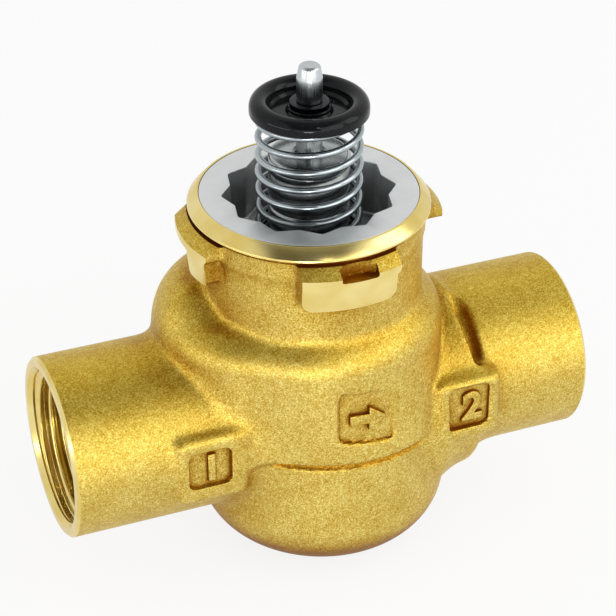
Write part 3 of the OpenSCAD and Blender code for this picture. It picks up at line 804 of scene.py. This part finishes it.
cut_away(valve_casting, [
    cut_outside_neck(), cut_lug_slopes(), cut_port(-1), cut_port(1),
    cut_bonnet_seat(), *cut_chambers(),
])
stands_for(smoothed(valve_casting, 35), "valve", "valve_body")

# %% [markdown]
# ## Pipe threads
# Each port has an internal parallel pipe thread of fourteen turns to the inch.
# The bore was cut to the thread's root, so a ridge is laid in it: a helix along
# the pipe carries a round-crested outline, which shrinks to nothing at both
# ends, as a thread runs out.

# %% The thread's tree
THREAD = {"Root radius": ROOT_RADIUS, "Pitch": 25.4 / 14, "Turns": 7.6, "Ridge height": 1.16}
THREAD_START, SUNK_FOOT, RUN_OUT = 1.1, 0.04, 0.5
POINTS_PER_TURN = 60


def point_index(tree):
    return Sum(tree, tree.nodes.new("GeometryNodeInputIndex").outputs[0])


def curve_of_points(tree, count, *place):
    """A curve through points whose coordinates follow a rule of their index."""
    line = add_node(tree, "GeometryNodeMeshLine", {"Count": count})
    along = {axis: value * MM for axis, value in zip("XYZ", place)}
    move = add_node(tree, "GeometryNodeSetPosition", {
        "Geometry": line.outputs["Mesh"],
        "Position": add_node(tree, "ShaderNodeCombineXYZ", along).outputs[0],
    })
    curve = add_node(tree, "GeometryNodeMeshToCurve", {"Mesh": move.outputs["Geometry"]})
    return curve.outputs["Curve"]


def helix_curve(tree, count, radius, rise):
    """A curve round Z, and the number of turns from its start at each point.

    rise is a function that gives the height after a number of turns.
    """
    turned_by = point_index(tree) / POINTS_PER_TURN
    angle = turned_by * (2 * math.pi)
    x = radius * maths(tree, "COSINE", angle)
    y = radius * maths(tree, "SINE", angle)
    curve = curve_of_points(tree, count, x, y, rise(turned_by))
    upright = add_node(tree, "GeometryNodeSetCurveNormal", {"Curve": curve})
    upright.mode = "Z_UP"
    return upright.outputs["Curve"], turned_by


def swept(tree, curve, profile, scale=1.0):
    """The skin of a profile curve carried along another curve, ends closed."""
    skin = add_node(tree, "GeometryNodeCurveToMesh", {
        "Curve": curve, "Profile Curve": profile, "Scale": scale, "Fill Caps": True,
    })
    return skin.outputs["Mesh"]


def ridge_outline(tree, height, half_width, points=17):
    """A closed outline of one round-crested ridge, its foot on the helix."""
    aside = point_index(tree) * (2 * half_width / (points - 1)) - half_width
    wave = maths(tree, "COSINE", aside * (math.pi / half_width)) * 0.5 + 0.5
    outline = curve_of_points(tree, points, -(height * wave), -aside)
    closed = add_node(tree, "GeometryNodeSetSplineCyclic", {"Geometry": outline, "Cyclic": True})
    return closed.outputs["Geometry"]


def thread_tree():
    tree, s = new_shape_tree("pipe_thread", THREAD)
    points = s["Turns"] * POINTS_PER_TURN + 1
    radius = s["Root radius"] + SUNK_FOOT
    curve, turned_by = helix_curve(tree, points, radius, lambda turns: turns * s["Pitch"])
    ends = turned_by.at_most(s["Turns"] - turned_by) / RUN_OUT
    outline = ridge_outline(tree, s["Ridge height"], THREAD["Pitch"] / 2)
    finish_tree(tree, swept(tree, curve, outline, ends.at_least(0.02).at_most(1)), TURNED)
    return tree


thread = thread_tree()


def port_thread(name, side):
    """One port's thread, turned from Z to the pipe and set just inside its mouth."""
    piece = piece_from_tree(name, thread, THREAD)
    length = THREAD["Turns"] * THREAD["Pitch"]
    start = HALF_SPAN - THREAD_START - length
    along = Matrix.Rotation(math.radians(90 * side), 4, "Y")
    piece.data.transform(Matrix.Translation((side * start * MM, 0, PIPE_Z * MM)) @ along)
    smoothed(piece, 40)
    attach(piece, "valve")
    print(name, len(piece.data.polygons), "faces")
    return piece


port_thread("port_1_thread", -1)
port_thread("port_2_thread", 1)

# %% [markdown]
# ## The bonnet and its star socket
# The bonnet is a plated ring screwed into the neck. A twelve-pointed socket lets
# a key turn it, and its deep walls, darkened with painted shade, are the darkest
# part of the top. The socket is one outline whose radius changes with the angle,
# so it is turned with the other rings, and a narrow slope at the top gives the
# wall its bright edge.

# %% Bonnet
bonnet_low, bonnet_high = node_box("bonnet")
STAR_TIP, STAR_TURN, STAR_POINTS = 14.7, math.radians(16.5), 12
STAR_VALLEY = STAR_TIP * math.cos(math.radians(30)) / math.cos(math.radians(15))
STAR_FLOOR = NECK_TOP - 10


def star(grow):
    """Radius of the star socket at an angle, made larger all round by grow."""
    half = math.pi / STAR_POINTS

    def radius(angle):
        aside = abs((angle - STAR_TURN + half) % (2 * half) - half)
        aside = math.hypot(aside, math.radians(0.9))
        tip, valley = STAR_TIP + grow, STAR_VALLEY + grow
        slope = tip * math.sin(aside) + valley * math.sin(half - aside)
        return tip * valley * math.sin(half) / slope

    return radius


def bonnet():
    low, top, rim = bonnet_low.z, bonnet_high.z, bonnet_high.x
    neck, bore, steps = 16.5, 7.25, 4
    # the last corner only eases the one before it, and its own points are left off
    outline = eased([
        (bore, STAR_FLOOR - 4.2), (12, STAR_FLOOR - 4.2), (12, low), (neck, low),
        (neck, top - 4.4), (15.9, top - 4.4), (15.9, top - 2.2), (rim, top - 2.2), (rim, top),
        (bore + 8.5, top),
    ], 0.22, steps)[:-(steps + 1)]
    outline += [
        (star(0.28), top), (star(0.08), top - 0.08), (star(0), top - 0.3),
        (star(0), STAR_FLOOR + 0.25), (star(-0.25), STAR_FLOOR), (bore, STAR_FLOOR),
    ]
    return turned("bonnet_ring", outline, BONNET, sides=STAR_POINTS * 26)


stands_for(bonnet(), "valve", "bonnet")
print("star floor", round(STAR_FLOOR, 2), "mm")

# %% [markdown]
# ## Gland, washer, stem and clip
# Inside the spring stands the gland: a tube screwed into the bonnet, with a cap
# that keeps the stem's seals. The stem slides through it. All are bright turned
# parts, so their outlines are eased and turned.

# %% Gland and its cap
gland_low, gland_high = node_box("gland_tube")
cap_low, cap_high = node_box("gland_cap")
stem_low, stem_high = node_box("stem")
STEM_R = stem_high.x


def gland_tube():
    top, tube, thread_r, bore = gland_high.z, cap_high.x, 7.2, 4.7
    foot = bonnet_low.z + 4
    return turned("gland_sleeve", eased([
        (STEM_R + 0.25, gland_low.z), (gland_high.x, gland_low.z), (gland_high.x, foot - 0.05),
        (6.0, foot - 0.05), (6.0, foot + 1.2), (thread_r, foot + 1.2),
        (thread_r, STAR_FLOOR), (tube, STAR_FLOOR),
        (tube, STAR_FLOOR + 7.5), (tube - 0.35, STAR_FLOOR + 7.85), (tube - 0.35, STAR_FLOOR + 8.6),
        (tube, STAR_FLOOR + 8.95), (tube, top), (bore, top), (bore, top - 9.36),
        (STEM_R + 0.25, top - 9.36),
    ], 0.12, 3), GLAND)


def gland_cap():
    low, top, rim = cap_low.z, cap_high.z, cap_high.x
    return turned("gland_lid", eased([
        (STEM_R + 0.1, low), (4.65, low), (4.65, low + 2.05), (rim, low + 2.05), (rim, top - 0.5),
        (rim - 0.5, top), (STEM_R + 0.6, top), (STEM_R + 0.1, top - 0.45),
    ], 0.14, 3), GLAND)


def spring_seat():
    low, high = node_box("spring_washer")
    return turned("spring_seat_ring", eased([
        (7.3, low.z), (high.x, low.z), (high.x, high.z), (7.3, high.z),
    ], 0.2, 3), STEEL)


stands_for(gland_tube(), "valve", "gland_tube")
stands_for(gland_cap(), "valve", "gland_cap")
stands_for(spring_seat(), "valve", "spring_washer")

# %% Stem and clip
cup_low, cup_high = node_box("spring_cup")
clip_low, clip_high = node_box("cup_clip")


def stem_rod():
    low, groove = stem_low.z, clip_low.z - 0.03
    plug_top = node_box("plug_holder")[1].z
    return turned("stem_rod", eased([
        (0, low), (1.6, low), (2, low + 0.4), (2, plug_top + 0.05), (STEM_R, plug_top + 0.05),
        (STEM_R, groove), (STEM_R - 0.5, groove), (STEM_R - 0.5, clip_high.z + 0.03),
        (STEM_R, clip_high.z + 0.03), (STEM_R, TIP_Z - 2.3), (1.78, TIP_Z - 0.35),
        (1.35, TIP_Z), (0, TIP_Z),
    ], 0.16, 3), STEEL, sides=96)


def clip_ring():
    inner = STEM_R - 0.45
    return turned("stem_clip", eased([
        (inner, clip_low.z), (clip_high.x, clip_low.z),
        (clip_high.x, clip_high.z), (inner, clip_high.z),
    ], 0.15, 3), CLIP, sides=96)


stands_for(stem_rod(), "stem", "stem")
stands_for(clip_ring(), "stem", "cup_clip")

# %% [markdown]
# ## The spring cup
# The cup is pressed from sheet: a rolled rim that holds the spring's last coil,
# a dished floor, a raised boss round the stem and one small drain hole. It is
# coated in glossy black. Its outline follows both faces of the sheet.

# %% Cup
SHEET, RIM_HALF = 0.6, 1.65
DRAIN_RADIUS, DRAIN_OUT, DRAIN_TURN = 0.7, 4.7, math.radians(20)


def rolled_rim(middle, crown, radius, from_angle, to_angle, steps=14):
    """Points of an arc in an outline, by angle from the outward direction."""
    sweep = to_angle - from_angle
    angles = (math.radians(from_angle + sweep * k / steps) for k in range(steps + 1))
    return [(middle + radius * math.cos(a), crown + radius * math.sin(a)) for a in angles]


def cup_outline():
    """Outer face of the sheet down to the boss, then its inner face back up."""
    half = RIM_HALF
    middle, crown = cup_high.x - half, cup_high.z - half
    skirt, floor_top = cup_high.z - 2.5, cup_low.z + SHEET
    boss = clip_high.x + 0.3
    outside = [(middle + half, skirt)] + rolled_rim(middle, crown, half, 0, 180)
    dish = [
        (middle - half, floor_top + 0.45), (middle - half - 0.45, floor_top),
        (boss + 0.35, floor_top), (boss, floor_top + 0.35), (boss, floor_top + 0.75),
        (boss - 0.15, floor_top + 0.9),
        (STEM_R + 0.05, floor_top + 0.9), (STEM_R + 0.05, cup_low.z),
    ]
    under = [(middle - half - 0.2, cup_low.z), (middle - half + SHEET, cup_low.z + 0.5)]
    inside = rolled_rim(middle, crown, half - SHEET, 180, 0) + [(middle + half - SHEET, skirt)]
    return outside + dish + under + inside


def spring_cup():
    cup = turned("pressed_cup", cup_outline(), BLACK)
    low, high = cup_low.z - 1, cup_high.z
    hole = turned("cut_drain", [
        (0, low), (DRAIN_RADIUS, low), (DRAIN_RADIUS, high), (0, high),
    ], BLACK, 40)
    place = (DRAIN_OUT * MM * math.cos(DRAIN_TURN), DRAIN_OUT * MM * math.sin(DRAIN_TURN), 0)
    hole.data.transform(Matrix.Translation(place))
    return smoothed(cut_away(cup, [hole]), 40)


stands_for(spring_cup(), "stem", "spring_cup")

# %% [markdown]
# ## The return spring
# A compression spring with closed ends: the first and last turn lie close, and
# the turns between are open. Its height follows one rule of the number of
# turns, which the tree writes out from named inputs. When the stem is pressed
# down the coils close up evenly.

# %% Spring
spring_low, spring_high = node_box("return_spring")
WIRE_WIDTH = 1.15
SPRING = {
    "Wire diameter": WIRE_WIDTH,
    "Outside diameter": 18.0,
    "Open turns": 6.9,
    "Closed turns": 1.0,
    "Foot height": spring_low.z + WIRE_WIDTH / 2,
    "Crown height": spring_high.z - WIRE_WIDTH / 2,
}


def spring_tree():
    tree, s = new_shape_tree("return_spring", SPRING)
    wire, closed, opened = s["Wire diameter"], s["Closed turns"], s["Open turns"]
    close_pitch = wire * 1.1
    open_pitch = (s["Crown height"] - s["Foot height"] - closed * close_pitch * 2) / opened

    def height(turns):
        low = turns.at_most(closed)
        middle = (turns - closed).at_least(0).at_most(opened)
        high = (turns - closed - opened).at_least(0)
        return s["Foot height"] + (low + high) * close_pitch + middle * open_pitch

    turns = closed * 2 + opened
    radius = (s["Outside diameter"] - wire) / 2
    curve, _ = helix_curve(tree, turns * POINTS_PER_TURN + 1, radius, height)
    wire_round = add_node(tree, "GeometryNodeCurvePrimitiveCircle", {
        "Resolution": 16, "Radius": wire * (MM / 2),
    })
    finish_tree(tree, swept(tree, curve, wire_round.outputs["Curve"]), WIRE)
    return tree


coil = smoothed(piece_from_tree("spring_coil", spring_tree(), SPRING), 50)
stands_for(coil, "valve", "return_spring")
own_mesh(coil)

# %% [markdown]
# ## Marks cast in the body
# The panels on the barrels hold the ports' numbers and the panel on the band a
# plain arrow for the direction of flow. They stand nearly as high as the metal
# round them and have the same soft cast edges, so they are outlines with a
# thickness and a small bevel.

# %% Port numbers and flow arrow
SOFT_EDGE, SUNK = 0.22, 0.5


def raised_mark(name, curve, lift, height, bend_round=None):
    """A flat curve given thickness, stood up to face the front, and bent if asked."""
    curve.extrude = height / 2 * MM
    curve.bevel_depth = SOFT_EDGE * MM
    curve.bevel_resolution = 2
    flat = place_in_scene(name, curve)
    depsgraph = bpy.context.evaluated_depsgraph_get()
    mesh = bpy.data.meshes.new_from_object(flat.evaluated_get(depsgraph))
    bpy.data.objects.remove(flat)
    mesh.transform(Matrix.Translation(lift * MM) @ Matrix.Rotation(math.pi / 2, 4, "X"))
    mesh.materials.clear()
    mesh.materials.append(CAST)
    if bend_round:
        centre, radius = bend_round
        for vertex in mesh.vertices:
            depth = math.sqrt(radius ** 2 - (vertex.co.x / MM - centre) ** 2) - radius
            vertex.co.y -= depth * MM
    bm = bmesh.new()
    bm.from_mesh(mesh)
    bmesh.ops.remove_doubles(bm, verts=bm.verts, dist=1e-6)
    bmesh.ops.recalc_face_normals(bm, faces=bm.faces)
    bm.to_mesh(mesh)
    bm.free()
    mark = smoothed(place_in_scene(name, mesh), 50)
    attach(mark, "valve")
    return mark


def number(name, face, digit, size, x, h):
    text = bpy.data.curves.new(name, "FONT")
    text.body = digit
    text.align_x = text.align_y = "CENTER"
    text.size = size * MM
    text.offset = 0.12 * MM
    return raised_mark(name, text, Vector((x, SUNK - face, PIPE_Z + h)), 0.4)


for port, pad in PADS.items():
    number(f"{port}_number", pad["face"], *pad["digit"])


def flow_arrow():
    arrow = bpy.data.curves.new("flow_arrow", "CURVE")
    arrow.dimensions = "2D"
    arrow.fill_mode = "BOTH"
    shaft, head, length, barb = 0.75, 1.9, 2.9, 0.4
    outline = [
        (-length, -shaft), (barb, -shaft), (barb, -head), (length, 0),
        (barb, head), (barb, shaft), (-length, shaft),
    ]
    line = arrow.splines.new("POLY")
    line.points.add(len(outline) - 1)
    for point, (x, y) in zip(line.points, outline):
        point.co = (x * MM, y * MM, 0, 1)
    line.use_cyclic_u = True
    middle, h, band = 1.6, 8.05, CASTING["Band radius"]
    lift = Vector((middle, SUNK - band, PIPE_Z + h))
    return raised_mark("flow_arrow", arrow, lift, 0.45, (CASTING["Bowl offset"], band))


flow_arrow()

# %% [markdown]
# ## The room
# A pale floor, soft lamps from the front and both sides, and two small lamps
# that put crisp lights on the polished parts. The camera sees a white
# background. Polished metal sees it too, with a calm darker zone over the
# camera's side that gives the turned faces their contrast.

# %% Floor, world and lamps
GLOW_IN_METAL, MORE_GLOW_SEEN = 0.45, 0.4
CALM_DEPTH, OVERHEAD_LIFT = 0.85, 0.22


def seen_rays(tree):
    """1 for what the camera sees itself or in a polished face, 0 for other light."""
    path = tree.nodes.new("ShaderNodeLightPath")
    seen = Sum(tree, path.outputs["Is Camera Ray"])
    for ray in ("Is Glossy Ray", "Is Transmission Ray"):
        seen = seen.at_least(Sum(tree, path.outputs[ray]))
    return seen


def mixed(tree, share, first, second, end):
    """Ends a tree in two shaders; share is how much of the second shows."""
    mix = add_node(tree, "ShaderNodeMixShader", {
        "Fac": share, 1: first.outputs[0], 2: second.outputs[0],
    })
    tree.links.new(mix.outputs[0], tree.nodes[end].inputs["Surface"])


def floor():
    """A pale floor that keeps the shadow but shows nearly white."""
    bm = bmesh.new()
    bmesh.ops.create_grid(bm, x_segments=1, y_segments=1, size=3)
    mesh = bpy.data.meshes.new("floor")
    bm.to_mesh(mesh)
    bm.free()
    plane = place_in_scene("floor", mesh)
    paint = Finish("floor_paint", (0.9, 0.9, 0.9), 0.9, metal=0.0)
    tree = paint.tree
    glow = tree.nodes.new("ShaderNodeEmission")
    path = tree.nodes.new("ShaderNodeLightPath")
    camera_sees = Sum(tree, path.outputs["Is Camera Ray"])
    share = seen_rays(tree) * (GLOW_IN_METAL + camera_sees * MORE_GLOW_SEEN)
    mixed(tree, share, paint.shader, glow, "Material Output")
    mesh.materials.append(paint.material)
    plane.location.z = -0.02 * MM


def lamp(name, place, size, watts, aim_at=(0, 0, 0.035)):
    light = bpy.data.lights.new(name, "AREA")
    light.shape = "RECTANGLE"
    light.size, light.size_y = size
    light.energy = watts
    body = bpy.data.objects.new(name, light)
    body.location = place
    body.rotation_euler = (Vector(aim_at) - Vector(place)).to_track_quat("-Z", "Y").to_euler()
    bpy.context.scene.collection.objects.link(body)


def eased_step(value, start, width):
    """0 before start, 1 after start + width, and smooth between."""
    t = ((value - start) / width).clamped()
    return t * t * (3 - t * 2)


def world():
    """White to the camera; for polished metal, white with a calm darker zone."""
    room = bpy.data.worlds.new("room")
    bpy.context.scene.world = room
    room.use_nodes = True
    tree = room.node_tree
    sky = tree.nodes["Background"]
    sky.inputs["Color"].default_value = (1, 1, 1, 1)
    sky.inputs["Strength"].default_value = 0.7
    wall = tree.nodes.new("ShaderNodeBackground")
    mixed(tree, seen_rays(tree), sky, wall, "World Output")
    x, y, z = parts_of(tree, tree.nodes.new("ShaderNodeTexCoord").outputs["Generated"])
    c, n = math.cos(CAMERA_TURN), math.sin(CAMERA_TURN)
    aside, ahead = abs(x * c + y * n), y * c - x * n
    calm = eased_step(z, 0.12, 0.2) * (1 - eased_step(ahead, 0.05, 0.3))
    calm = calm * (1 - eased_step(aside, 0.42, 0.2))
    darker = calm * (CALM_DEPTH - eased_step(z, 0.8, 0.12) * OVERHEAD_LIFT)
    feed(tree, wall.inputs["Strength"], 1 - darker)


LAMPS = {
    "key_lamp": ((0.262, -0.682, 0.325), (0.6, 0.6), 1.8),
    "spark_lamp": ((-0.05, -0.7, 0.62), (0.08, 0.12), 0.2),
    "low_spark_lamp": ((-0.18, -0.42, 0.02), (0.14, 0.03), 0.3),
    "fill_lamp": ((0.7, -0.3, 0.45), (0.4, 0.6), 1.2),
    "low_front_lamp": ((-0.27, -0.66, 0.08), (0.7, 0.07), 0.4),
    "low_left_lamp": ((-0.72, -0.14, 0.09), (0.6, 0.08), 0.6),
}
floor()
world()
for lamp_name, (place, size, watts) in LAMPS.items():
    lamp(lamp_name, place, size, watts)
print(len(LAMPS), "lamps,", round(sum(watts for _, _, watts in LAMPS.values()), 2), "W")
bpy.context.scene.view_settings.view_transform = "Standard"

# %% Finishes for the CAD nodes that stay
NODE_FINISH = {
    "seat_insert": SEAT, "seat_o_ring": RUBBER, "bonnet": BONNET, "bonnet_o_ring": RUBBER,
    "gland_tube": GLAND, "gland_o_ring": RUBBER, "gland_cap": GLAND, "guide_bush": POLYMER,
    "stem_seal_lower": RUBBER, "seal_spacer": POLYMER, "stem_seal_upper": RUBBER,
    "wiper_ring": RUBBER, "spring_washer": STEEL, "return_spring": WIRE, "stem": STEEL,
    "spring_cup": BLACK, "cup_clip": CLIP, "plug_holder": TURNED, "plug_seal": RUBBER,
    "seal_washer": SEAT, "plug_nut": TURNED, "valve_body": CAST,
}
for node, material in NODE_FINISH.items():
    for slot in frame["nodes"][node].material_slots:
        slot.material = material
